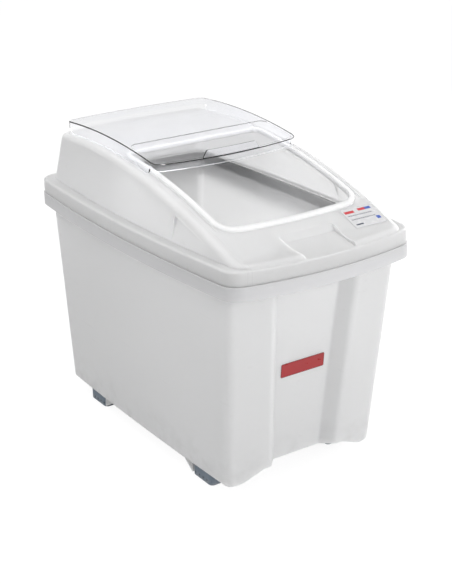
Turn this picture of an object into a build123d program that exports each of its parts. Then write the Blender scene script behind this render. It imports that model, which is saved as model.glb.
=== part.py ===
from build123d import *
import math
import os

# An ingredient bin: an open tub on four rubber feet, a lift-off hood with an
# arched top, and a clear cover that slides back over the arch.
# X is to the right, the front faces -Y and Z is up. The origin is on the floor
# under the middle of the rim. All lengths are millimetres.

# Rim outline, shared by the tub's flange and the hood's skirt
rim_length = 700.0
rim_width = 404.0
rim_side_bow = 17.0
rim_end_bow = 23.0
rim_corner_radius = 34.0

# Heights
foot_height = 22.0
arch_height = 15.0
tub_rim_bottom = 393.0
tub_rim_top = 417.0
upstand_height = 19.0
hood_skirt_height = 26.0
apron_rise = 6.0

# Tub walls: how far they stand inside the rim, and their draft down to the floor
grip_side = 25.3
grip_front = 39.0
grip_rear = 35.0
draft_side = 16.7
draft_front = 40.0
draft_rear = 6.0
tub_side_bow = 5.0
tub_end_bow = 8.0
tub_corner_radius = 16.0
tub_wall = 3.5
tub_floor = 4.0
tub_bottom_round = 10.0
tub_inside_bevel = 5.0
rim_wall = 3.0
rim_edge_bevel = 1.2

# Channel down the middle of the tub's front wall
channel_depth = 25.0
channel_floor_bottom = 49.0
channel_floor_top = 66.0
channel_side_run = 20.0
channel_edge_round = 14.0
channel_root_round = 6.0

# Raised strip of the tub's floor between the two rows of feet
arch_half_width = 52.0
arch_slope_width = 26.0
arch_root_round = 8.0
arch_lip_round = 18.0
arch_lip_lap = 0.1

# Wide mouth of that strip at the front, which shows the front feet
mouth_rear = -214.0
mouth_end_lean = 6.0
mouth_half_rear = 80.0
mouth_half_front = 88.0
mouth_slope_width = 54.0
mouth_rise_front = 27.0
mouth_root_round = 20.0
mouth_lip_round = 24.0

# Feet, each with a plug in a blind socket of the tub's floor
foot_width = 48.0
foot_length = 60.0
foot_side_margin = 8.0
foot_front_margin = 66.0
foot_rear_margin = 76.0
foot_corner_round = 9.0
foot_sole_bevel = 1.5
plug_diameter = 16.0
plug_length = 11.0
plug_clearance = 0.15
boss_wall = 4.0
ramp_length = 28.0
ramp_toe = 3.0
ramp_skin = 3.0
ramp_gap = 0.3

# Hood: wall, and the plan of the raised part at its foot and at its top
hood_setback = 1.5
hood_wall = 3.0
hood_edge_round = 4.0
ledge_side = 21.0
ledge_rear = 33.0
dome_lean_side = 17.0
dome_lean_rear = 26.0
dome_side_bow_foot = 15.0
dome_side_bow_top = 7.0
dome_rear_bow = 12.0
dome_top_level = 541.0
dome_front_round = 32.0
dome_rear_round = 17.0
shoulder_round = 13.0
shoulder_inside_bevel = 8.0

# Arched top of the hood
arch_radius = 1245.0
arch_center_y = 160.0
apron_blend = 80.0

# Opening in the hood, with a raised bead round it
opening_side_margin = 28.0
opening_front = -243.0
opening_rear = 60.0
opening_front_bow = 7.0
opening_front_round = 30.0
opening_rear_round = 14.0
bead_width = 8.0
bead_height = 5.0
bead_bevel = 1.8

# Track for the cover beside the opening
track_depth = 1.2
track_gap = 1.5
track_front = -232.0

# Thumb recess in the apron
thumb_half_width = 50.0
thumb_back = -274.0
thumb_step = 10.0
thumb_depth = 6.5
thumb_front_level = 441.5
thumb_side_lean = 0.3
thumb_corner_round = 8.0

# Pinch of the hood's side walls under the front of the shoulder
pinch_back = -145.0
pinch_front = -318.0
pinch_depth = 9.0
pinch_drop = 15.0

# Clear cover
cover_rise = 23.0
cover_wall = 2.5
cover_bead_gap = 3.5
cover_front = -64.0
cover_rear = 280.0
cover_end_bow = 13.0
cover_corner_round = 18.0
cover_skirt_clearance = 10.0
cover_skirt_end_round = 9.0
cover_running_gap = 0.4
cover_edge_bevel = 0.8
panel_margin = 5.0
panel_rear = 46.0
panel_step = 0.8
panel_round = 16.0

# Finger lip of the cover
lip_base_width = 121.0
lip_top_width = 102.0
lip_height = 14.0
lip_corner_round = 5.0

# Labels
info_label_width = 66.0
info_label_length = 48.0
info_label_side_margin = 11.0
info_label_bead_gap = 1.0
info_label_thickness = 0.3
label_glue = 0.05
front_label_width = 91.0
front_label_height = 26.0
front_label_center_z = 216.0
front_label_thickness = 0.6
label_corner_round = 2.5

# Levels, and how far cutters run past what they cut
tub_bottom = foot_height
arch_level = tub_bottom + arch_height
upstand_top = tub_rim_top + upstand_height
hood_plate_top = tub_rim_top + hood_skirt_height
apron_level = hood_plate_top + apron_rise
arch_center_z = dome_top_level - arch_radius
reach = 2 * rim_length
overrun = 20.0

# Tub walls and feet, set out from the rim
tub_width_top = rim_width - 2 * grip_side
tub_width_bottom = tub_width_top - 2 * draft_side
tub_front_top = -rim_length / 2 + grip_front
tub_front_bottom = tub_front_top + draft_front
tub_rear_top = rim_length / 2 - grip_rear
tub_rear_bottom = tub_rear_top - draft_rear
foot_center_x = tub_width_bottom / 2 - foot_side_margin - foot_width / 2
foot_front_y = tub_front_bottom + foot_front_margin + foot_length / 2
foot_rear_y = tub_rear_bottom - foot_rear_margin - foot_length / 2

# Hood, opening, cover and label, set out from the rim
dome_width_foot = rim_width - 2 * ledge_side
dome_width_top = dome_width_foot - 2 * dome_lean_side
dome_rear_foot = rim_length / 2 - ledge_rear
dome_rear_top = dome_rear_foot - dome_lean_rear
opening_half_width = dome_width_top / 2 - opening_side_margin
cover_half_width = opening_half_width + bead_width + cover_bead_gap + cover_wall
info_label_center_x = dome_width_top / 2 - info_label_side_margin - info_label_width / 2
info_label_center_y = opening_front - bead_width - info_label_bead_gap - info_label_length / 2


def bow_drop(x, half_chord, bow):
    """How far a shallow arc has fallen back from its crown at the offset x."""
    radius = (half_chord ** 2 + bow ** 2) / (2 * bow)
    return radius - math.sqrt(radius ** 2 - x ** 2)


def round_near(face, points, radius):
    """Round the corners of a flat face that lie nearest to the given points."""
    picked = []
    for point in points:
        picked.append(min(face.vertices(), key=lambda v: (Vector(*v) - Vector(*point)).length))
    return face.fillet_2d(radius, picked)


def bowed_face(half_x, y_front, y_rear, side_bow, front_bow, rear_bow, front_round, rear_round):
    """A rounded rectangle whose four sides swell outwards."""
    corner_x = half_x - side_bow
    front_corner = y_front + front_bow
    rear_corner = y_rear - rear_bow
    y_mid = (front_corner + rear_corner) / 2
    front = ThreePointArc((-corner_x, front_corner), (0, y_front), (corner_x, front_corner))
    right = ThreePointArc((corner_x, front_corner), (half_x, y_mid), (corner_x, rear_corner))
    rear = ThreePointArc((corner_x, rear_corner), (0, y_rear), (-corner_x, rear_corner))
    left = ThreePointArc((-corner_x, rear_corner), (-half_x, y_mid), (-corner_x, front_corner))
    face = Face(Wire([front, right, rear, left]))
    face = round_near(
        face, [(-corner_x, front_corner, 0), (corner_x, front_corner, 0)], front_round
    )
    return round_near(
        face, [(-corner_x, rear_corner, 0), (corner_x, rear_corner, 0)], rear_round
    )


def rim_face(inset):
    """The rim's outline, moved inwards all round."""
    return bowed_face(
        rim_width / 2 - inset,
        -rim_length / 2 + inset,
        rim_length / 2 - inset,
        rim_side_bow,
        rim_end_bow,
        rim_end_bow,
        rim_corner_radius - inset,
        rim_corner_radius - inset,
    )


def between(bottom, top, z):
    """A tub size at the height z, on the straight draft from bottom to rim."""
    return bottom + (top - bottom) * (z - tub_bottom) / (tub_rim_bottom - tub_bottom)


def tub_face(z, inset):
    """The tub's outline at the height z, moved inwards by the wall."""
    half_x = between(tub_width_bottom, tub_width_top, z) / 2 - inset
    y_front = between(tub_front_bottom, tub_front_top, z) + inset
    y_rear = between(tub_rear_bottom, tub_rear_top, z) - inset
    slant = math.atan2(channel_depth, channel_side_run)
    floor_x = between(channel_floor_bottom, channel_floor_top, z) + inset * math.tan(slant / 2)
    edge_x = floor_x + channel_side_run
    corner_x = half_x - tub_side_bow
    front_corner = y_front + tub_end_bow
    rear_corner = y_rear - tub_end_bow
    y_mid = (front_corner + rear_corner) / 2
    edge_y = y_front + bow_drop(edge_x, corner_x, tub_end_bow)
    mid_x = (corner_x + edge_x) / 2
    mid_y = y_front + bow_drop(mid_x, corner_x, tub_end_bow)
    floor_y = y_front + channel_depth
    lines = [
        ThreePointArc((-corner_x, front_corner), (-mid_x, mid_y), (-edge_x, edge_y)),
        Line((-edge_x, edge_y), (-floor_x, floor_y)),
        Line((-floor_x, floor_y), (floor_x, floor_y)),
        Line((floor_x, floor_y), (edge_x, edge_y)),
        ThreePointArc((edge_x, edge_y), (mid_x, mid_y), (corner_x, front_corner)),
        ThreePointArc((corner_x, front_corner), (half_x, y_mid), (corner_x, rear_corner)),
        ThreePointArc((corner_x, rear_corner), (0, y_rear), (-corner_x, rear_corner)),
        ThreePointArc((-corner_x, rear_corner), (-half_x, y_mid), (-corner_x, front_corner)),
    ]
    face = Face(Wire(lines))
    face = round_near(face, [(-edge_x, edge_y, 0), (edge_x, edge_y, 0)], channel_edge_round - inset)
    face = round_near(face, [(-floor_x, floor_y, 0), (floor_x, floor_y, 0)], channel_root_round + inset)
    corners = [
        (-corner_x, front_corner, 0),
        (corner_x, front_corner, 0),
        (corner_x, rear_corner, 0),
        (-corner_x, rear_corner, 0),
    ]
    face = round_near(face, corners, tub_corner_radius - inset)
    return Pos(0, 0, z) * face


def tub_form(bottom, top, inset):
    """The drafted body between two levels, with a sharp bottom edge."""
    return loft([tub_face(bottom, inset), tub_face(top, inset)], ruled=True)


def arch_face(half_top, slope_width, top, root_round, lip_round, grow):
    """Front view of an arch under the floor: a flat top, slopes, and the space below."""
    top = top + grow
    half_top = half_top + grow / 2
    half_foot = half_top + slope_width
    side = half_foot + 2 * lip_round
    low = tub_bottom + grow - arch_lip_lap
    points = [
        (-side, -tub_bottom),
        (side, -tub_bottom),
        (side, low),
        (half_foot, low),
        (half_top, top),
        (-half_top, top),
        (-half_foot, low),
        (-side, low),
    ]
    face = make_face(Polyline(*points, close=True)).face()
    face = round_near(face, [(half_top, top, 0), (-half_top, top, 0)], root_round + grow)
    return round_near(face, [(half_foot, low, 0), (-half_foot, low, 0)], lip_round - grow)


def arch_form(grow):
    """The space under the raised strip of the floor, running front to rear."""
    face = arch_face(
        arch_half_width, arch_slope_width, arch_level, arch_root_round, arch_lip_round, grow
    )
    return extrude(Plane.XZ * face, amount=reach, both=True)


def mouth_form(grow):
    """The wide mouth of the strip at the front: it widens and rises towards the wall."""
    rear = mouth_rear + grow
    front = tub_front_top
    rear_face = arch_face(
        mouth_half_rear, mouth_slope_width, arch_level, mouth_root_round, mouth_lip_round, grow
    )
    front_level = tub_bottom + mouth_rise_front
    front_face = arch_face(
        mouth_half_front, mouth_slope_width, front_level, mouth_root_round, mouth_lip_round, grow
    )
    mouth = loft(
        [Plane.XZ.offset(-rear) * rear_face, Plane.XZ.offset(-front) * front_face], ruled=True
    )
    lean_top = front_level + grow
    end_face = Polyline(
        (rear, -tub_bottom),
        (rear, tub_bottom),
        (rear - mouth_end_lean, lean_top),
        (rear - mouth_end_lean, reach),
        (-reach, reach),
        (-reach, -tub_bottom),
        close=True,
    )
    return mouth & extrude(Plane.YZ * make_face(end_face), amount=reach, both=True)


def tall(face, bottom, top):
    """A flat face at height zero, raised into a block between two levels."""
    return extrude(Pos(0, 0, bottom) * face, amount=top - bottom)


def foot_places():
    """Name and centre of each foot."""
    return {
        "foot_front_left": (-foot_center_x, foot_front_y),
        "foot_front_right": (foot_center_x, foot_front_y),
        "foot_rear_left": (-foot_center_x, foot_rear_y),
        "foot_rear_right": (foot_center_x, foot_rear_y),
    }


def boss_form(grow):
    """The socket for a foot's plug, or with the wall added the boss round it."""
    return Cylinder(
        plug_diameter / 2 + grow, plug_length + grow, align=(Align.CENTER, Align.CENTER, Align.MIN)
    )


def ramp_form(side):
    """A hollow moulded ramp behind a foot, falling towards it; side is -1 in front."""
    start = foot_length / 2 + ramp_gap
    end = start + ramp_length
    outer = Polyline((start, foot_height), (start, ramp_toe), (end, foot_height), close=True)
    slope = (foot_height - ramp_toe) / ramp_length
    lift = ramp_skin * math.sqrt(1 + slope ** 2)
    inner_end = end - lift / slope
    inner = Polyline(
        (start, foot_height), (start, ramp_toe + lift), (inner_end, foot_height), close=True
    )
    shell = extrude(Plane.YZ * make_face(outer), amount=foot_width / 2, both=True)
    hollow = extrude(Plane.YZ * make_face(inner), amount=foot_width / 2 - ramp_skin, both=True)
    ramp = shell - hollow
    return ramp if side < 0 else mirror(ramp, Plane.XZ)


# Tub: drafted walls, raised strip of floor, sockets for the feet, and the
# flange with its downturned skirt, open underneath as the hand grip
tub = tub_form(tub_bottom, upstand_top, 0)
tub = fillet(tub.edges().group_by(Axis.Z)[0], tub_bottom_round)
flange = tall(rim_face(0), tub_rim_bottom, tub_rim_top)
flange = chamfer(flange.edges().group_by(Axis.Z)[-1], rim_edge_bevel)
flange = flange - tall(rim_face(rim_wall), tub_rim_bottom - rim_wall, tub_rim_top - rim_wall)
tub = (tub - arch_form(0) - mouth_form(0)) + flange
cavity = tub_form(tub_bottom + tub_floor, upstand_top + tub_wall, tub_wall)
cavity = chamfer(cavity.edges().group_by(Axis.Z)[0], tub_inside_bevel)
cavity = cavity - arch_form(tub_floor) - mouth_form(tub_floor)
for x, y in foot_places().values():
    cavity = cavity - Pos(x, y, tub_bottom) * boss_form(boss_wall)
tub = tub - cavity
for x, y in foot_places().values():
    tub = tub - Pos(x, y, tub_bottom) * boss_form(plug_clearance)
    tub = tub + Pos(x, y, 0) * ramp_form(-1 if y < 0 else 1)

# Feet: rubber blocks with a rounded outer corner and a plug
feet = {}
for name, (x, y) in foot_places().items():
    block = Box(foot_width, foot_length, foot_height, align=(Align.CENTER, Align.CENTER, Align.MIN))
    block = fillet(block.edges().filter_by(Axis.Z), foot_corner_round)
    block = chamfer(block.edges().group_by(Axis.Z)[0], foot_sole_bevel)
    plug = Cylinder(
        plug_diameter / 2,
        foot_height / 2 + plug_length,
        align=(Align.CENTER, Align.CENTER, Align.MIN),
    )
    feet[name] = Pos(x, y, 0) * (block + Pos(0, 0, foot_height / 2) * plug)


def arch_z(y, grow):
    """Height of the arched top at a distance along the bin, raised by an offset."""
    radius = arch_radius + grow
    return arch_center_z + math.sqrt(radius ** 2 - (y - arch_center_y) ** 2)


def arch_slab(low, high, half_x):
    """The space between two offsets of the arch, across the bin."""
    y_front = -rim_length / 2 - overrun
    y_rear = rim_length / 2 + overrun
    top_mid = (arch_center_y, arch_center_z + arch_radius + high)
    low_mid = (arch_center_y, arch_center_z + arch_radius + low)
    top = ThreePointArc((y_front, arch_z(y_front, high)), top_mid, (y_rear, arch_z(y_rear, high)))
    back = Line((y_rear, arch_z(y_rear, high)), (y_rear, arch_z(y_rear, low)))
    under = ThreePointArc((y_rear, arch_z(y_rear, low)), low_mid, (y_front, arch_z(y_front, low)))
    front = Line((y_front, arch_z(y_front, low)), (y_front, arch_z(y_front, high)))
    face = Face(Wire([top, back, under, front]))
    return extrude(Plane.YZ * face, amount=half_x, both=True)


def side_profile(inset):
    """Side view of the hood: the arch, then a smooth run-out into the flat apron."""
    radius = arch_radius - inset
    level = apron_level - inset
    y_front = -reach
    y_meet = arch_center_y - math.sqrt(radius ** 2 - (level - arch_center_z) ** 2)
    crown = (arch_center_y, arch_center_z + radius)
    y_rear = rim_length / 2 + overrun
    y_half = (y_meet + arch_center_y) / 2
    front_half = ThreePointArc(
        (y_meet, level), (y_half, arch_z(y_half, -inset)), (y_rear, arch_z(y_rear, -inset))
    )
    lines = [
        Line((y_front, level), (y_meet, level)),
        front_half,
        Line((y_rear, arch_z(y_rear, -inset)), (y_rear, -reach)),
        Line((y_rear, -reach), (y_front, -reach)),
        Line((y_front, -reach), (y_front, level)),
    ]
    face = Face(Wire(lines))
    face = round_near(face, [(y_meet, level, 0)], apron_blend + inset)
    return extrude(Plane.YZ * face, amount=rim_width, both=True)


def dome_face(share, inset):
    """Plan of the hood's raised part: share 0 at its foot, 1 at the crown's level."""
    half_x = (dome_width_foot + (dome_width_top - dome_width_foot) * share) / 2 - inset
    side_bow = dome_side_bow_foot + (dome_side_bow_top - dome_side_bow_foot) * share
    rear = dome_rear_foot + (dome_rear_top - dome_rear_foot) * share - inset
    front = -rim_length / 2 + 2 * hood_setback + inset
    chord = rim_width / 2 - rim_side_bow
    front_bow = bow_drop(half_x - side_bow, chord, rim_end_bow)
    return bowed_face(
        half_x,
        front,
        rear,
        side_bow,
        front_bow,
        dome_rear_bow,
        dome_front_round - inset,
        dome_rear_round - inset,
    )


def dome_form(inset):
    """The hood's raised part: drafted sides under the arch, with sharp shoulders."""
    rise = dome_top_level - hood_plate_top
    extra = overrun / rise
    foot = Pos(0, 0, hood_plate_top - overrun) * dome_face(-extra, inset)
    head = Pos(0, 0, dome_top_level + overrun) * dome_face(1 + extra, inset)
    return loft([foot, head], ruled=True) & side_profile(inset)


def shoulder_edges(body):
    """The edges where the hood's arched top meets its sides and rear."""
    found = []
    for edge in body.edges():
        if edge.geom_type != GeomType.LINE and edge.bounding_box().min.Z > hood_plate_top:
            found.append(edge)
    return found


def opening_face(grow):
    """Plan of the opening in the hood, moved outwards all round."""
    half_x = opening_half_width + grow
    front = opening_front - grow
    rear = opening_rear + grow
    front_corner = front + opening_front_bow
    lines = [
        ThreePointArc((-half_x, front_corner), (0, front), (half_x, front_corner)),
        Line((half_x, front_corner), (half_x, rear)),
        Line((half_x, rear), (-half_x, rear)),
        Line((-half_x, rear), (-half_x, front_corner)),
    ]
    face = Face(Wire(lines))
    face = round_near(
        face, [(half_x, front_corner, 0), (-half_x, front_corner, 0)], opening_front_round + grow
    )
    return round_near(face, [(half_x, rear, 0), (-half_x, rear, 0)], opening_rear_round + grow)


def track_form(grow):
    """Both grooves for the cover's side skirts, or with a wall added their linings."""
    half_x = cover_half_width - cover_wall - track_gap - grow
    width = cover_wall + 2 * track_gap + 2 * grow
    y_mid = (track_front + reach) / 2
    strip = Box(width, reach - track_front + 2 * grow, reach)
    strips = Pos(half_x + width / 2, y_mid, dome_top_level) * strip
    strips = strips + Pos(-half_x - width / 2, y_mid, dome_top_level) * strip
    return strips & arch_slab(-track_depth - grow, hood_wall, rim_width)


def thumb_form(grow):
    """The thumb recess in the apron, or with a wall added the room for its lining."""
    y_front = -reach
    y_foot = thumb_back - thumb_step
    slope = (arch_z(y_foot, -thumb_depth) - thumb_front_level) / (y_foot + rim_length / 2)
    z_foot = arch_z(y_foot, -thumb_depth) - grow
    z_front = z_foot + slope * (y_front - y_foot)
    points = [
        (thumb_back + grow, arch_z(thumb_back, 0)),
        (thumb_back + grow, dome_top_level),
        (y_front, dome_top_level),
        (y_front, z_front),
        (y_foot + grow, z_foot),
    ]
    profile = make_face(Polyline(*points, close=True))
    form = extrude(Plane.YZ * profile, amount=rim_width, both=True)
    plans = []
    for level in (thumb_front_level - grow, dome_top_level):
        half_x = thumb_half_width + grow + thumb_side_lean * (level - thumb_front_level)
        length = thumb_back + grow + reach
        plan = Pos(0, thumb_back + grow - length / 2, 0) * Rectangle(2 * half_x, length)
        rear_corners = plan.vertices().group_by(Axis.Y)[-1]
        plan = plan.face().fillet_2d(thumb_corner_round + grow, rear_corners)
        plans.append(Pos(0, 0, level) * plan)
    return form & loft(plans, ruled=True)


def pinch_form(grow):
    """Wedges that set the hood's side walls back under the front of the shoulder."""
    low = hood_plate_top
    high = dome_top_level
    rise = high - low
    lean = pinch_depth / (arch_z(pinch_back, -pinch_drop) - low)
    wedges = None
    for side in (-1, 1):
        sections = []
        for z in (low, high):
            share = (z - low) / rise
            half_x = (dome_width_foot + (dome_width_top - dome_width_foot) * share) / 2
            bow = dome_side_bow_foot + (dome_side_bow_top - dome_side_bow_foot) * share
            chord = rim_length / 2
            back_x = half_x - bow_drop(pinch_back, chord, bow) - lean * (z - low)
            front_x = half_x - bow_drop(pinch_front, chord, bow)
            points = [
                (side * (back_x - grow), pinch_back + grow),
                (side * (front_x - grow), pinch_front),
                (side * rim_width, pinch_front),
                (side * rim_width, pinch_back + grow),
            ]
            sections.append(Pos(0, 0, z) * make_face(Polyline(*points, close=True)))
        wedge = loft(sections, ruled=True)
        wedges = wedge if wedges is None else wedges + wedge
    return wedges & arch_slab(-rim_length / 2, grow - pinch_drop, rim_width)


# Hood: flange with a downturned skirt that sits on the tub's flange, the arched
# part with its shoulders, the thumb recess, the opening with its bead and the
# grooves that the cover runs in
hood = tall(rim_face(hood_setback), tub_rim_top, hood_plate_top)
hood = fillet(hood.edges().group_by(Axis.Z)[-1], hood_edge_round)
hollow = rim_face(hood_setback + hood_wall)
hood = hood - tall(hollow, tub_rim_top - hood_wall, hood_plate_top - hood_wall)
dome = dome_form(0)
dome = fillet(shoulder_edges(dome), shoulder_round) - pinch_form(0)
dome = dome & Pos(0, 0, hood_plate_top - hood_wall / 2) * Box(
    reach, reach, reach, align=(Align.CENTER, Align.CENTER, Align.MIN)
)
hood = hood + dome
inner = dome_form(hood_wall)
inner = chamfer(shoulder_edges(inner), shoulder_inside_bevel) - pinch_form(hood_wall)
inner = inner - thumb_form(hood_wall) - track_form(hood_wall)
hood = hood - inner - thumb_form(0)
bead = tall(opening_face(bead_width), arch_center_z, dome_top_level + bead_height)
bead = bead & arch_slab(-hood_wall / 2, bead_height, rim_width)
crest = []
for edge in bead.edges():
    middle = edge.position_at(0.5)
    if middle.Z > arch_z(middle.Y, bead_height / 2):
        crest.append(edge)
bead = chamfer(crest, bead_bevel)
hood = hood + bead
hood = hood - tall(opening_face(0), arch_center_z, dome_top_level + reach)
hood = hood - track_form(0)


def cover_face(inset):
    """Plan of the clear cover, moved inwards all round."""
    half_x = cover_half_width - inset
    front = cover_front + inset
    rear = cover_rear - inset
    front_corner = front + cover_end_bow
    rear_corner = rear - cover_end_bow
    lines = [
        ThreePointArc((-half_x, front_corner), (0, front), (half_x, front_corner)),
        Line((half_x, front_corner), (half_x, rear_corner)),
        ThreePointArc((half_x, rear_corner), (0, rear), (-half_x, rear_corner)),
        Line((-half_x, rear_corner), (-half_x, front_corner)),
    ]
    face = Face(Wire(lines))
    return face.fillet_2d(cover_corner_round - inset, face.vertices())


# Clear cover: a shell concentric with the hood's arch, with side skirts that
# reach down into the grooves, a set-down front panel and a finger lip
plan = tall(cover_face(0), arch_center_z, dome_top_level + reach)
plan_inside = tall(cover_face(cover_wall), arch_center_z, dome_top_level + reach)
sliding_cover = plan & arch_slab(cover_skirt_clearance, cover_rise, rim_width)
top_rim = []
for edge in sliding_cover.edges():
    middle = edge.position_at(0.5)
    if middle.Z > arch_z(middle.Y, cover_rise - cover_wall):
        top_rim.append(edge)
sliding_cover = chamfer(top_rim, cover_edge_bevel)
under = cover_rise - cover_wall
sliding_cover = sliding_cover - (plan_inside & arch_slab(-hood_wall, under, rim_width))
skirt_length = cover_rear - cover_front - 2 * (cover_end_bow + cover_corner_round)
skirt_y = (cover_rear + cover_front) / 2
skirts = arch_slab(cover_running_gap - track_depth, under, rim_width)
skirt_box = Box(cover_wall, skirt_length, reach)
skirt_x = cover_half_width - cover_wall / 2
for side in (-1, 1):
    skirt = skirts & (Pos(side * skirt_x, skirt_y, dome_top_level) * skirt_box)
    front_end = skirt.edges().filter_by(Axis.X).group_by(Axis.Y)[0].sort_by(Axis.Z)[0]
    rear_end = skirt.edges().filter_by(Axis.X).group_by(Axis.Y)[-1].sort_by(Axis.Z)[0]
    sliding_cover = sliding_cover + fillet([front_end, rear_end], cover_skirt_end_round)
panel = cover_face(panel_margin)
panel = panel & Pos(0, panel_rear - reach / 2, 0) * Rectangle(reach, reach)
panel = panel.face().fillet_2d(panel_round, panel.face().vertices().group_by(Axis.Y)[-1])
panel = tall(panel, arch_center_z, dome_top_level + reach)
set_down = arch_slab(cover_rise - panel_step, cover_rise + overrun, rim_width)
sliding_cover = sliding_cover - (panel & set_down)
lip_foot = arch_z(cover_front, under)
lip_head = arch_z(cover_front, cover_rise) + lip_height
lip = make_face(
    Polyline(
        (-lip_base_width / 2, lip_foot),
        (lip_base_width / 2, lip_foot),
        (lip_top_width / 2, lip_head),
        (-lip_top_width / 2, lip_head),
        close=True,
    )
)
lip = lip.face().fillet_2d(lip_corner_round, lip.face().vertices().group_by(Axis.Y)[-1])
lip = extrude(Plane.XZ * lip, amount=rim_length / 2)
sliding_cover = sliding_cover + (lip & (plan - plan_inside))

# Label on the right of the apron, a thin film that follows the hood's top
info_label = RectangleRounded(info_label_width, info_label_length, label_corner_round)
info_label = Pos(info_label_center_x, info_label_center_y, 0) * info_label
info_label = tall(info_label, arch_center_z, dome_top_level + reach)
info_label = info_label & side_profile(-label_glue - info_label_thickness)
info_label = info_label - side_profile(-label_glue)

# Label on the floor of the front channel, which leans with the wall's draft
panel_y_low = tub_front_bottom + channel_depth
panel_y_high = tub_front_top + channel_depth
panel_lean = math.atan2(panel_y_low - panel_y_high, tub_rim_bottom - tub_bottom)
front_label_y = between(panel_y_low, panel_y_high, front_label_center_z)
label_plane = Plane(
    origin=(0, front_label_y, front_label_center_z),
    x_dir=(1, 0, 0),
    z_dir=(0, -math.cos(panel_lean), -math.sin(panel_lean)),
)
front_label = RectangleRounded(front_label_width, front_label_height, label_corner_round)
front_label = extrude(label_plane * front_label, amount=front_label_thickness)

os.makedirs("parts", exist_ok=True)
export_step(tub, "parts/tub.step")
export_step(hood, "parts/hood.step")
export_step(sliding_cover, "parts/sliding_cover.step")
export_step(info_label, "parts/info_label.step")
export_step(front_label, "parts/front_label.step")
for name, foot in feet.items():
    export_step(foot, f"parts/{name}.step")

# The cover's travel: its front edge comes down to just past the front bead
closed_front = opening_front - bead_width - cover_wall - cover_skirt_clearance / 2
cover_radius = arch_radius + cover_rise
angle_open = math.asin((arch_center_y - cover_front) / cover_radius)
angle_closed = math.asin((arch_center_y - closed_front) / cover_radius)
print("cover axis y, z", arch_center_y, arch_center_z)
print("cover travel in degrees", round(math.degrees(angle_closed - angle_open), 3))
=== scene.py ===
# %% [markdown]
# # An ingredient bin, dressed for the picture
# The measured parts of the bin are loaded first. They already have their right
# shape and place, so this lesson gives them light, a camera and surfaces. Print,
# grain, scuffs and dust are too thin to be worth a shape of their own, so they
# are painted with noise and simple sums.

# %% Load the measured parts
import math

import bpy
from mathutils import Matrix, Vector


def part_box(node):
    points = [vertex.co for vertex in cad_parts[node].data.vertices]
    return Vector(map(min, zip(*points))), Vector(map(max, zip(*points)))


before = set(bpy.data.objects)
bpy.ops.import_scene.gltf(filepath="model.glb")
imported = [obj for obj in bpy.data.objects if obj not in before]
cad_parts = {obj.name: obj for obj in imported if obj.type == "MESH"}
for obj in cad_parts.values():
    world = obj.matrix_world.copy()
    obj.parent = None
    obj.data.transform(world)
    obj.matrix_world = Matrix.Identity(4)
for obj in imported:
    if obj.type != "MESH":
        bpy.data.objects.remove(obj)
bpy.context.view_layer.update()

print("parts", sorted(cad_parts))

# %% [markdown]
# ## The camera
# The picture was taken from the front left, a little above the rim, with a long
# lens. A camera is three things: where it stands, which way it looks and how
# narrow its view is. Here the direction is given by two angles and a small
# tilt, the place by the distance and two sideways shifts from the origin, and
# the three axes of the camera are written straight into its matrix.

# %% Camera
view_azimuth = math.radians(-33.40)
view_elevation = math.radians(21.79)
view_roll = math.radians(-1.21)
view_distance = 2.5088
shift_right = 0.01388
shift_up = 0.24554
focal_length_px = 1301.94
picture_height_px = 584
sensor_mm = 36.0

back = Vector((
    math.sin(view_azimuth) * math.cos(view_elevation),
    -math.cos(view_azimuth) * math.cos(view_elevation),
    math.sin(view_elevation),
))
level_right = Vector((math.cos(view_azimuth), math.sin(view_azimuth), 0.0))
level_up = back.cross(level_right)
cam_right = math.cos(view_roll) * level_right + math.sin(view_roll) * level_up
cam_up = math.cos(view_roll) * level_up - math.sin(view_roll) * level_right
cam_place = cam_right * shift_right + cam_up * shift_up + back * view_distance
cam_axes = Matrix((cam_right, cam_up, back)).transposed().to_4x4()

camera_data = bpy.data.cameras.new("camera")
camera_data.sensor_width = sensor_mm
camera_data.lens = focal_length_px * sensor_mm / picture_height_px
camera = bpy.data.objects.new("camera", camera_data)
camera.matrix_world = Matrix.Translation(cam_place) @ cam_axes
bpy.context.scene.collection.objects.link(camera)
bpy.context.scene.camera = camera
print("camera at", [round(v, 3) for v in cam_place], "lens", round(camera_data.lens, 2), "mm")

# %% [markdown]
# ## Soft studio lamps
# White plastic shows its form only through gentle differences of grey. The
# studio therefore has a large soft lamp above and behind, one from the front
# right, a weaker one from the left, and one on the right whose light soaks
# through the right wall and brightens the inside. Small lamps would be quicker
# to place, but they would draw hard shadows that the picture doesn't have.

# %% Lamps
def add_lamp(name, place, side, watts):
    """A square soft lamp that looks at the middle of the bin."""
    data = bpy.data.lights.new(name, "AREA")
    data.shape = "SQUARE"
    data.size = side
    data.energy = watts
    lamp = bpy.data.objects.new(name, data)
    lamp.location = place
    direction = Vector(bin_middle) - Vector(place)
    lamp.rotation_euler = direction.to_track_quat("-Z", "Y").to_euler()
    bpy.context.scene.collection.objects.link(lamp)
    print(name, watts, "W")


bin_middle = (0.0, 0.0, 0.30)
add_lamp("lamp_top", (0.0, 0.9, 2.2), side=2.0, watts=13.0)
add_lamp("lamp_front_right", (0.9, -2.4, 0.9), side=1.6, watts=28.0)
add_lamp("lamp_left", (-1.3, -0.3, 2.0), side=1.4, watts=10.0)
add_lamp("lamp_right", (2.3, 0.6, 1.0), side=1.8, watts=21.0)

# %% [markdown]
# ## The sky
# A pale sky fills the shadows. The sky that the camera sees, straight or through
# the clear cover, is plain white, and what the bin receives from it is dimmer.
# One brightness for both would either grey the background or bleach the bin.

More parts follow.
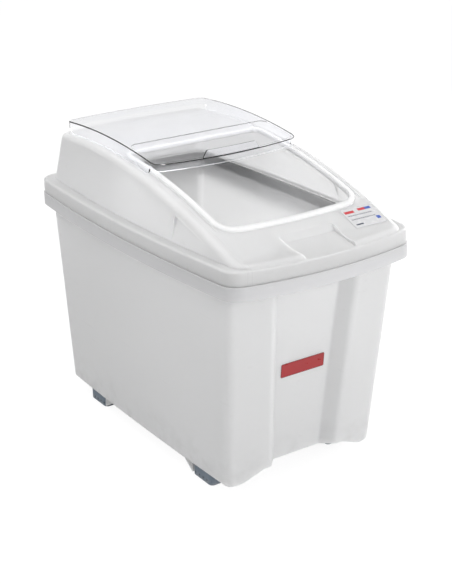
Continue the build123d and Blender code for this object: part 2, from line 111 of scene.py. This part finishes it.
# %% Sky
def seen_directly(tree):
    """1 for rays from the camera or through clear plastic, and 0 for the rest."""
    path = tree.nodes.new("ShaderNodeLightPath")
    either = tree.nodes.new("ShaderNodeMath")
    either.operation = "MAXIMUM"
    tree.links.new(path.outputs["Is Camera Ray"], either.inputs[0])
    tree.links.new(path.outputs["Is Transmission Ray"], either.inputs[1])
    return either.outputs[0]


def choose_shader(tree, factor, first, second):
    """Shows the first shader where the factor is 0 and the second where it is 1."""
    mix = tree.nodes.new("ShaderNodeMixShader")
    tree.links.new(factor, mix.inputs[0])
    tree.links.new(first.outputs[0], mix.inputs[1])
    tree.links.new(second.outputs[0], mix.inputs[2])
    return mix.outputs[0]


sky_strength = 0.65
sky_seen_strength = 1.0
world = bpy.data.worlds.new("sky")
bpy.context.scene.world = world
world.use_nodes = True
tree = world.node_tree
tree.nodes.clear()
sky_out = tree.nodes.new("ShaderNodeOutputWorld")
sky_light = tree.nodes.new("ShaderNodeBackground")
sky_light.inputs["Color"].default_value = (1.0, 1.0, 1.0, 1.0)
sky_light.inputs["Strength"].default_value = sky_strength
sky_seen = tree.nodes.new("ShaderNodeBackground")
sky_seen.inputs["Color"].default_value = (1.0, 1.0, 1.0, 1.0)
sky_seen.inputs["Strength"].default_value = sky_seen_strength
sky = choose_shader(tree, seen_directly(tree), sky_light, sky_seen)
tree.links.new(sky, sky_out.inputs["Surface"])
bpy.context.scene.view_settings.view_transform = "Standard"
print("sky strength on the bin", sky_strength)

# %% [markdown]
# ## The floor
# The bin stands on a plain pale floor that runs into the white background. The
# floor the camera sees is part white glow and part matt paint, so it is white in
# the open and still darkens a little where the bin keeps the light off it. It
# lies a hair below the soles, so that the two faces don't fight over one place.

# %% Floor
floor_size = 12.0
floor_level = -0.0003
floor_white = 0.80
floor_seen_white = 0.16
floor_glow_strength = 0.90
bpy.ops.mesh.primitive_plane_add(size=floor_size, location=(0.0, 0.0, floor_level))
floor = bpy.context.object
floor.name = "floor"
floor_paint = bpy.data.materials.new("floor_paint")
floor_paint.use_nodes = True
tree = floor_paint.node_tree
tree.nodes.clear()
floor_out = tree.nodes.new("ShaderNodeOutputMaterial")
floor_matt = tree.nodes.new("ShaderNodeBsdfDiffuse")
floor_matt.inputs["Color"].default_value = (floor_white, floor_white, floor_white, 1.0)
floor_seen_matt = tree.nodes.new("ShaderNodeBsdfDiffuse")
floor_seen_matt.inputs["Color"].default_value = (
    floor_seen_white, floor_seen_white, floor_seen_white, 1.0
)
floor_glow = tree.nodes.new("ShaderNodeEmission")
floor_glow.inputs["Strength"].default_value = floor_glow_strength
floor_seen = tree.nodes.new("ShaderNodeAddShader")
tree.links.new(floor_glow.outputs[0], floor_seen.inputs[0])
tree.links.new(floor_seen_matt.outputs[0], floor_seen.inputs[1])
paint = choose_shader(tree, seen_directly(tree), floor_matt, floor_seen)
tree.links.new(paint, floor_out.inputs["Surface"])
floor.data.materials.append(floor_paint)
print("floor size", floor_size)

# %% [markdown]
# ## Helpers for the surfaces
# Real plastic is never one even colour. It has clouds of slightly different
# tone, a fine grain from its mould, and scuffs where hands, floors and runners
# touch it. A photograph wrapped round the part could show this, but it would
# blur close up, so each finish is built from noise in the part's own metres.
# These helpers hold the few steps that all of the finishes share.

# %% Surface helpers
def new_finish(name, colour, roughness):
    """A Principled material; colour and roughness hold until a pattern is linked over them."""
    finish = bpy.data.materials.new(name)
    finish.use_nodes = True
    tree = finish.node_tree
    shader = tree.nodes["Principled BSDF"]
    shader.inputs["Base Color"].default_value = (*colour, 1.0)
    shader.inputs["Roughness"].default_value = roughness
    return finish, tree, shader


def noise(tree, scale, detail, stretch=(1.0, 1.0, 1.0)):
    """Noise from 0 to 1 in the part's own metres; a small stretch value draws it out."""
    place = tree.nodes.new("ShaderNodeTexCoord")
    mapping = tree.nodes.new("ShaderNodeMapping")
    mapping.inputs["Scale"].default_value = stretch
    texture = tree.nodes.new("ShaderNodeTexNoise")
    texture.inputs["Scale"].default_value = scale
    texture.inputs["Detail"].default_value = detail
    tree.links.new(place.outputs["Object"], mapping.inputs["Vector"])
    tree.links.new(mapping.outputs["Vector"], texture.inputs["Vector"])
    return texture.outputs["Fac"]


def coordinate(tree, axis):
    """The part's own X, Y or Z in metres."""
    place = tree.nodes.new("ShaderNodeTexCoord")
    split = tree.nodes.new("ShaderNodeSeparateXYZ")
    tree.links.new(place.outputs["Object"], split.inputs["Vector"])
    return split.outputs[axis]


def remap(tree, source, span, onto=(0.0, 1.0)):
    """Stretches one span of a signal onto another and stops at its ends."""
    node = tree.nodes.new("ShaderNodeMapRange")
    node.inputs["From Min"].default_value = span[0]
    node.inputs["From Max"].default_value = span[1]
    node.inputs["To Min"].default_value = onto[0]
    node.inputs["To Max"].default_value = onto[1]
    tree.links.new(source, node.inputs["Value"])
    return node.outputs["Result"]


def combine(tree, operation, first, second):
    """One sum on two signals, or on a signal and a number."""
    node = tree.nodes.new("ShaderNodeMath")
    node.operation = operation
    tree.links.new(first, node.inputs[0])
    if isinstance(second, float):
        node.inputs[1].default_value = second
    else:
        tree.links.new(second, node.inputs[1])
    return node.outputs[0]


def absolute(tree, source):
    """The size of a signal without its sign."""
    return combine(tree, "ABSOLUTE", source, 0.0)


def within(tree, axis, middle, half):
    """1 where the part's own X, Y or Z is no more than half from the middle, or else 0."""
    node = tree.nodes.new("ShaderNodeMath")
    node.operation = "COMPARE"
    node.inputs[1].default_value = middle
    node.inputs[2].default_value = half
    tree.links.new(coordinate(tree, axis), node.inputs[0])
    return node.outputs[0]


def blend_colours(tree, factor, first, second):
    """Mixes two colours by a signal; each is a colour or another mix."""
    node = tree.nodes.new("ShaderNodeMix")
    node.data_type = "RGBA"
    tree.links.new(factor, node.inputs["Factor"])
    for value, name in ((first, "A"), (second, "B")):
        socket = [s for s in node.inputs if s.name == name and s.type == "RGBA"][0]
        if isinstance(value, tuple):
            socket.default_value = (*value, 1.0)
        else:
            tree.links.new(value, socket)
    return [s for s in node.outputs if s.type == "RGBA"][0]


def paint_with(tree, shader, colour):
    """Links a mix of colours to the shader."""
    tree.links.new(colour, shader.inputs["Base Color"])


def vary_roughness(tree, shader, scale, detail, onto):
    """Lets the roughness drift between two values in soft patches."""
    drift = remap(tree, noise(tree, scale, detail), (0.3, 0.7), onto)
    tree.links.new(drift, shader.inputs["Roughness"])


def add_bump(tree, shader, layers):
    """Chains bumps, each a height signal, a strength and a depth in metres."""
    last = None
    for height, strength, depth in layers:
        node = tree.nodes.new("ShaderNodeBump")
        node.inputs["Strength"].default_value = strength
        node.inputs["Distance"].default_value = depth
        tree.links.new(height, node.inputs["Height"])
        if last is not None:
            tree.links.new(last, node.inputs["Normal"])
        last = node.outputs["Normal"]
    tree.links.new(last, shader.inputs["Normal"])


def let_light_in(shader, reach):
    """Makes plastic milky: light enters it, scatters for about reach metres and leaves."""
    shader.inputs["Subsurface Weight"].default_value = 1.0
    shader.inputs["Subsurface Radius"].default_value = (1.0, 1.0, 1.0)
    shader.inputs["Subsurface Scale"].default_value = reach


def dress(node_name, finish):
    """Gives a measured part its finish."""
    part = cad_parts[node_name]
    part.data.materials.clear()
    part.data.materials.append(finish)
    print(node_name, "is now", finish.name)


# %% [markdown]
# ## The tub's milky plastic
# The tub is one thick moulding of plastic with little pigment, so light passes
# into the wall and the side away from the lamps stays bright. A plain white
# surface would turn flat grey there. The shader's subsurface part does what the
# plastic does. Over it lie soft clouds of tone, the fine grain of the mould, and
# the grey that a floor leaves near the feet.
#
# The rolled rim is the same solid as the walls, so it is told apart by where it is: above a
# height, and further out than the wall at the sides, the ends or the corners. There the colour
# is a painted shade, a darker grey than the walls, and the plastic lets less light in.

# %% Tub plastic
rim_start = 0.388
rim_fade_up = 0.002
rim_fade_out = 0.004
wall_half_width = 0.180
wall_half_length = 0.316
wall_corner_sum = 0.475
# The rim's grey below is painted shade, not the plastic's own colour.
rim_painted_shade = (0.54, 0.54, 0.55)
rim_milkiness = 0.30
wall_tone_low = (0.930, 0.933, 0.942)
wall_tone_high = (0.955, 0.957, 0.962)
floor_grime = (0.60, 0.60, 0.59)
floor_grime_levels = (0.022, 0.10)
scratch_grey = (0.70, 0.70, 0.71)

tub_plastic, tree, shader = new_finish("milky_tub_plastic", (0.94, 0.945, 0.955), 0.40)
let_light_in(shader, reach=0.035)
clouds = noise(tree, scale=7.0, detail=3.0)
wall_tone = blend_colours(tree, clouds, wall_tone_low, wall_tone_high)

height = coordinate(tree, "Z")
at_height = remap(tree, height, (rim_start - rim_fade_up, rim_start + rim_fade_up))
away_x = absolute(tree, coordinate(tree, "X"))
away_y = absolute(tree, coordinate(tree, "Y"))
beyond_side = combine(tree, "SUBTRACT", away_x, wall_half_width)
beyond_end = combine(tree, "SUBTRACT", away_y, wall_half_length)
beyond_corner = combine(tree, "SUBTRACT", combine(tree, "ADD", away_x, away_y), wall_corner_sum)
beyond = combine(tree, "MAXIMUM", beyond_side, beyond_end)
beyond = combine(tree, "MAXIMUM", beyond, beyond_corner)
on_rim = combine(tree, "MULTIPLY", at_height, remap(tree, beyond, (0.0, rim_fade_out)))
milkiness = remap(tree, on_rim, (0.0, 1.0), (1.0, rim_milkiness))
tree.links.new(milkiness, shader.inputs["Subsurface Weight"])
# Painted shade on the rolled rim.
clean = blend_colours(tree, on_rim, wall_tone, rim_painted_shade)

low_down = remap(tree, height, floor_grime_levels, (1.0, 0.0))
smudges = remap(tree, noise(tree, scale=28.0, detail=6.0), (0.46, 0.72), (0.0, 0.42))
floor_wear = combine(tree, "MULTIPLY", low_down, smudges)
streaks = noise(tree, scale=60.0, detail=4.0, stretch=(1.0, 0.12, 1.6))
scratches = remap(tree, streaks, (0.66, 0.70), (0.0, 0.10))
worn = blend_colours(tree, floor_wear, clean, floor_grime)
paint_with(tree, shader, blend_colours(tree, scratches, worn, scratch_grey))
vary_roughness(tree, shader, scale=22.0, detail=5.0, onto=(0.34, 0.50))
wall_waves = noise(tree, scale=9.0, detail=2.0)
grain = noise(tree, scale=900.0, detail=2.0)
add_bump(tree, shader, [(wall_waves, 0.10, 0.004), (grain, 0.12, 0.0002)])
dress("tub", tub_plastic)

# %% [markdown]
# ## The hood's white plastic
# The hood is the same kind of plastic with a little more white in it, and its
# mould was smoother, so it shines a little more. The cover's side skirts rub in
# and beside two shallow grooves and leave fine lines along the arch, which are
# noise drawn out along the run of the groove.

# %% Hood plastic
rub_middle = 0.152
rub_fade = 0.012
rub_grey = (0.70, 0.70, 0.70)
scratch_grey = (0.72, 0.72, 0.72)
hood_tone_low = (0.885, 0.885, 0.890)
hood_tone_high = (0.915, 0.915, 0.918)

hood_plastic, tree, shader = new_finish("white_hood_plastic", (0.93, 0.93, 0.935), 0.34)
let_light_in(shader, reach=0.022)
clouds = noise(tree, scale=8.0, detail=3.0)
clean = blend_colours(tree, clouds, hood_tone_low, hood_tone_high)
from_middle = combine(tree, "SUBTRACT", absolute(tree, coordinate(tree, "X")), rub_middle)
near_groove = remap(tree, absolute(tree, from_middle), (0.0, rub_fade), (1.0, 0.0))
streaks = noise(tree, scale=500.0, detail=3.0, stretch=(1.0, 0.03, 0.03))
rub_lines = remap(tree, streaks, (0.52, 0.64), (0.0, 0.30))
rubbed = combine(tree, "MULTIPLY", near_groove, rub_lines)
worn = blend_colours(tree, rubbed, clean, rub_grey)
streaks = noise(tree, scale=70.0, detail=4.0, stretch=(0.15, 1.0, 1.0))
scratches = remap(tree, streaks, (0.67, 0.70), (0.0, 0.10))
paint_with(tree, shader, blend_colours(tree, scratches, worn, scratch_grey))
vary_roughness(tree, shader, scale=24.0, detail=5.0, onto=(0.28, 0.42))
wall_waves = noise(tree, scale=10.0, detail=2.0)
grain = noise(tree, scale=1000.0, detail=2.0)
add_bump(tree, shader, [(wall_waves, 0.08, 0.003), (grain, 0.10, 0.00015)])
dress("hood", hood_plastic)

# %% [markdown]
# ## The clear cover
# The cover is hard clear plastic, which bends what is seen through its edges
# into thin dark lines. A shader that bends light also blocks the rays that look
# straight for a lamp, so what lies under it would turn dark. For those rays
# alone the cover is a slightly tinted window instead. Its top has the fine
# scuffs of daily wiping.

# %% Clear cover plastic
cover_ior = 1.45
window_tint = (0.968, 0.970, 0.982, 1.0)
clear_tone = (0.986, 0.988, 1.0)
haze_tone = (0.965, 0.970, 0.992)

clear_plastic, tree, shader = new_finish("clear_cover_plastic", (0.975, 0.978, 1.0), 0.03)
shader.inputs["Transmission Weight"].default_value = 1.0
shader.inputs["IOR"].default_value = cover_ior
streaks = noise(tree, scale=180.0, detail=4.0, stretch=(0.06, 1.0, 1.0))
wiping = remap(tree, streaks, (0.60, 0.72))
tree.links.new(remap(tree, wiping, (0.0, 1.0), (0.015, 0.10)), shader.inputs["Roughness"])
haze = remap(tree, noise(tree, scale=12.0, detail=4.0), (0.4, 0.8))
paint_with(tree, shader, blend_colours(tree, haze, clear_tone, haze_tone))
sheet_waves = noise(tree, scale=14.0, detail=1.0)
add_bump(tree, shader, [(sheet_waves, 0.06, 0.001), (wiping, 0.05, 0.00002)])

window = tree.nodes.new("ShaderNodeBsdfTransparent")
window.inputs["Color"].default_value = window_tint
lamp_rays = tree.nodes.new("ShaderNodeLightPath")
clear = choose_shader(tree, lamp_rays.outputs["Is Shadow Ray"], shader, window)
tree.links.new(clear, tree.nodes["Material Output"].inputs["Surface"])
dress("sliding_cover", clear_plastic)

# %% [markdown]
# ## The rubber feet
# The feet are grey-blue rubber with a matt, slightly dusty skin, and the dust gathers low down.
# The grain is coarser than the plastic's. A row of small dimples runs along each side. They
# could be cut into the solid, but they are only a few millimetres across, so the finish dents
# them and paints the shade in their hollows near black instead: a zigzag along Y spaces them, a
# band in Z sets their height, and a mask keeps them to the faces that look sideways.

# %% Foot rubber
dimple_pitch = 0.012
dimple_level = 0.008
dimple_core = dimple_pitch * 0.10
dimple_edge = dimple_pitch * 0.16
# The dimples' near-black is painted shade in their hollows.
dimple_painted_shade = (0.02, 0.025, 0.03)
rubber_low = (0.120, 0.152, 0.194)
rubber_high = (0.172, 0.210, 0.258)
dust_grey = (0.40, 0.41, 0.42)
dust_top = 0.014

foot_rubber, tree, shader = new_finish("blue_grey_rubber", (0.16, 0.20, 0.25), 0.5)
mottle = noise(tree, scale=45.0, detail=4.0)
clean = blend_colours(tree, mottle, rubber_low, rubber_high)
height = coordinate(tree, "Z")
low_down = remap(tree, height, (0.0, dust_top), (1.0, 0.0))
specks = remap(tree, noise(tree, scale=120.0, detail=5.0), (0.40, 0.70), (0.0, 0.75))
dust = combine(tree, "MULTIPLY", low_down, specks)
dusty = blend_colours(tree, dust, clean, dust_grey)

zigzag = combine(tree, "PINGPONG", coordinate(tree, "Y"), dimple_pitch / 2)
in_row = remap(tree, zigzag, (dimple_core, dimple_edge), (1.0, 0.0))
from_level = absolute(tree, combine(tree, "SUBTRACT", height, dimple_level))
at_level = remap(tree, from_level, (0.0012, 0.0020), (1.0, 0.0))
facing = tree.nodes.new("ShaderNodeNewGeometry")
facing_split = tree.nodes.new("ShaderNodeSeparateXYZ")
tree.links.new(facing.outputs["True Normal"], facing_split.inputs["Vector"])
on_side = remap(tree, absolute(tree, facing_split.outputs["X"]), (0.6, 0.8))
dimples = combine(tree, "MULTIPLY", combine(tree, "MULTIPLY", in_row, at_level), on_side)
# Painted shade fills the dimples.
paint_with(tree, shader, blend_colours(tree, dimples, dusty, dimple_painted_shade))
vary_roughness(tree, shader, scale=90.0, detail=4.0, onto=(0.40, 0.62))
dents = remap(tree, dimples, (0.0, 1.0), (1.0, 0.0))
grain = noise(tree, scale=420.0, detail=3.0)
add_bump(tree, shader, [(dents, 0.8, 0.001), (grain, 0.30, 0.0003)])
for foot_name in ("foot_front_left", "foot_front_right", "foot_rear_left", "foot_rear_right"):
    dress(foot_name, foot_rubber)

# %% [markdown]
# ## The printed film on the apron
# A small white film on the apron carries printed marks. They could be thin
# pieces laid on it, but print has no thickness, so they are painted into the
# film's own finish. Each mark is a rectangle: a point is in it when it is near
# enough to the middle in X and in Y. The rows of dots are the same rectangle
# cut up by a zigzag. The marks are plain bars and dots, and stand for no words.

# %% Printed film
def bar(tree, middle_x, middle_y, half_x, half_y):
    """1 inside a rectangle on the film and 0 outside, by the part's own X and Y."""
    in_x = within(tree, "X", middle_x, half_x)
    in_y = within(tree, "Y", middle_y, half_y)
    return combine(tree, "MULTIPLY", in_x, in_y)


red_ink = (0.55, 0.03, 0.04)
blue_ink = (0.04, 0.10, 0.42)
dark_ink = (0.05, 0.06, 0.09)
film_low = (0.60, 0.60, 0.615)
film_high = (0.66, 0.66, 0.67)
dot_pitch = 0.0046
dot_start = dot_pitch * 0.16
dot_full = dot_pitch * 0.20
dot_darkness = 0.9
row_middle_x = 0.118
row_half_length = 0.0255
row_half_height = 0.0011
row_levels = (-0.2705, -0.2800)
solid_marks = (
    (0.1010, -0.2615, 0.0100, 0.0030, red_ink),
    (0.1280, -0.2595, 0.0075, 0.0030, red_ink),
    (0.1415, -0.2595, 0.0060, 0.0030, blue_ink),
    (0.1000, -0.2925, 0.0075, 0.0015, dark_ink),
    (0.1450, -0.2860, 0.0040, 0.0035, blue_ink),
)

label_film, tree, shader = new_finish("white_label_film", (0.84, 0.84, 0.86), 0.24)
shader.inputs["Coat Weight"].default_value = 0.3
printed = blend_colours(tree, noise(tree, scale=60.0, detail=3.0), film_low, film_high)
for middle_x, middle_y, half_x, half_y, ink in solid_marks:
    printed = blend_colours(tree, bar(tree, middle_x, middle_y, half_x, half_y), printed, ink)
zigzag = combine(tree, "PINGPONG", coordinate(tree, "X"), dot_pitch / 2)
dots = remap(tree, zigzag, (dot_start, dot_full), (0.0, dot_darkness))
for row_y in row_levels:
    row = bar(tree, row_middle_x, row_y, row_half_length, row_half_height)
    printed = blend_colours(tree, combine(tree, "MULTIPLY", row, dots), printed, dark_ink)
paint_with(tree, shader, printed)
vary_roughness(tree, shader, scale=150.0, detail=4.0, onto=(0.18, 0.32))
add_bump(tree, shader, [(noise(tree, scale=260.0, detail=2.0), 0.06, 0.0001)])
dress("info_label", label_film)
print("marks on the film", len(solid_marks), "bars and", len(row_levels), "rows of dots")

# %% [markdown]
# ## The red film in the channel
# The front channel carries a plain red film. Its colour lies under a clear shiny
# skin, which is what the shader's coat is. A thin darker line runs along its
# edge: the film's size is read from the measured part, and everything further
# out than a small inset is painted darker.

# %% Red film
line_inset = 0.0014
line_red = (0.20, 0.010, 0.014)
red_low = (0.29, 0.006, 0.009)
red_high = (0.35, 0.009, 0.012)
film_box_low, film_box_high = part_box("front_label")
film_middle = (Vector(film_box_low) + Vector(film_box_high)) / 2
film_half = (Vector(film_box_high) - Vector(film_box_low)) / 2

red_film, tree, shader = new_finish("plain_red_film", (0.32, 0.008, 0.011), 0.28)
shader.inputs["Coat Weight"].default_value = 0.25
shader.inputs["Coat Roughness"].default_value = 0.12
reds = blend_colours(tree, noise(tree, scale=40.0, detail=3.0), red_low, red_high)
in_width = within(tree, "X", film_middle.x, film_half.x - line_inset)
in_height = within(tree, "Z", film_middle.z, film_half.z - line_inset)
inner = combine(tree, "MULTIPLY", in_width, in_height)
paint_with(tree, shader, blend_colours(tree, inner, line_red, reds))
vary_roughness(tree, shader, scale=90.0, detail=2.0, onto=(0.27, 0.31))
add_bump(tree, shader, [(noise(tree, scale=120.0, detail=1.0), 0.02, 0.0001)])
dress("front_label", red_film)
print("red film in metres", [round(2 * v, 4) for v in film_half])

# %% [markdown]
# Dressing must not change the bin, so it only gives the parts their surfaces.

print("all parts dressed")
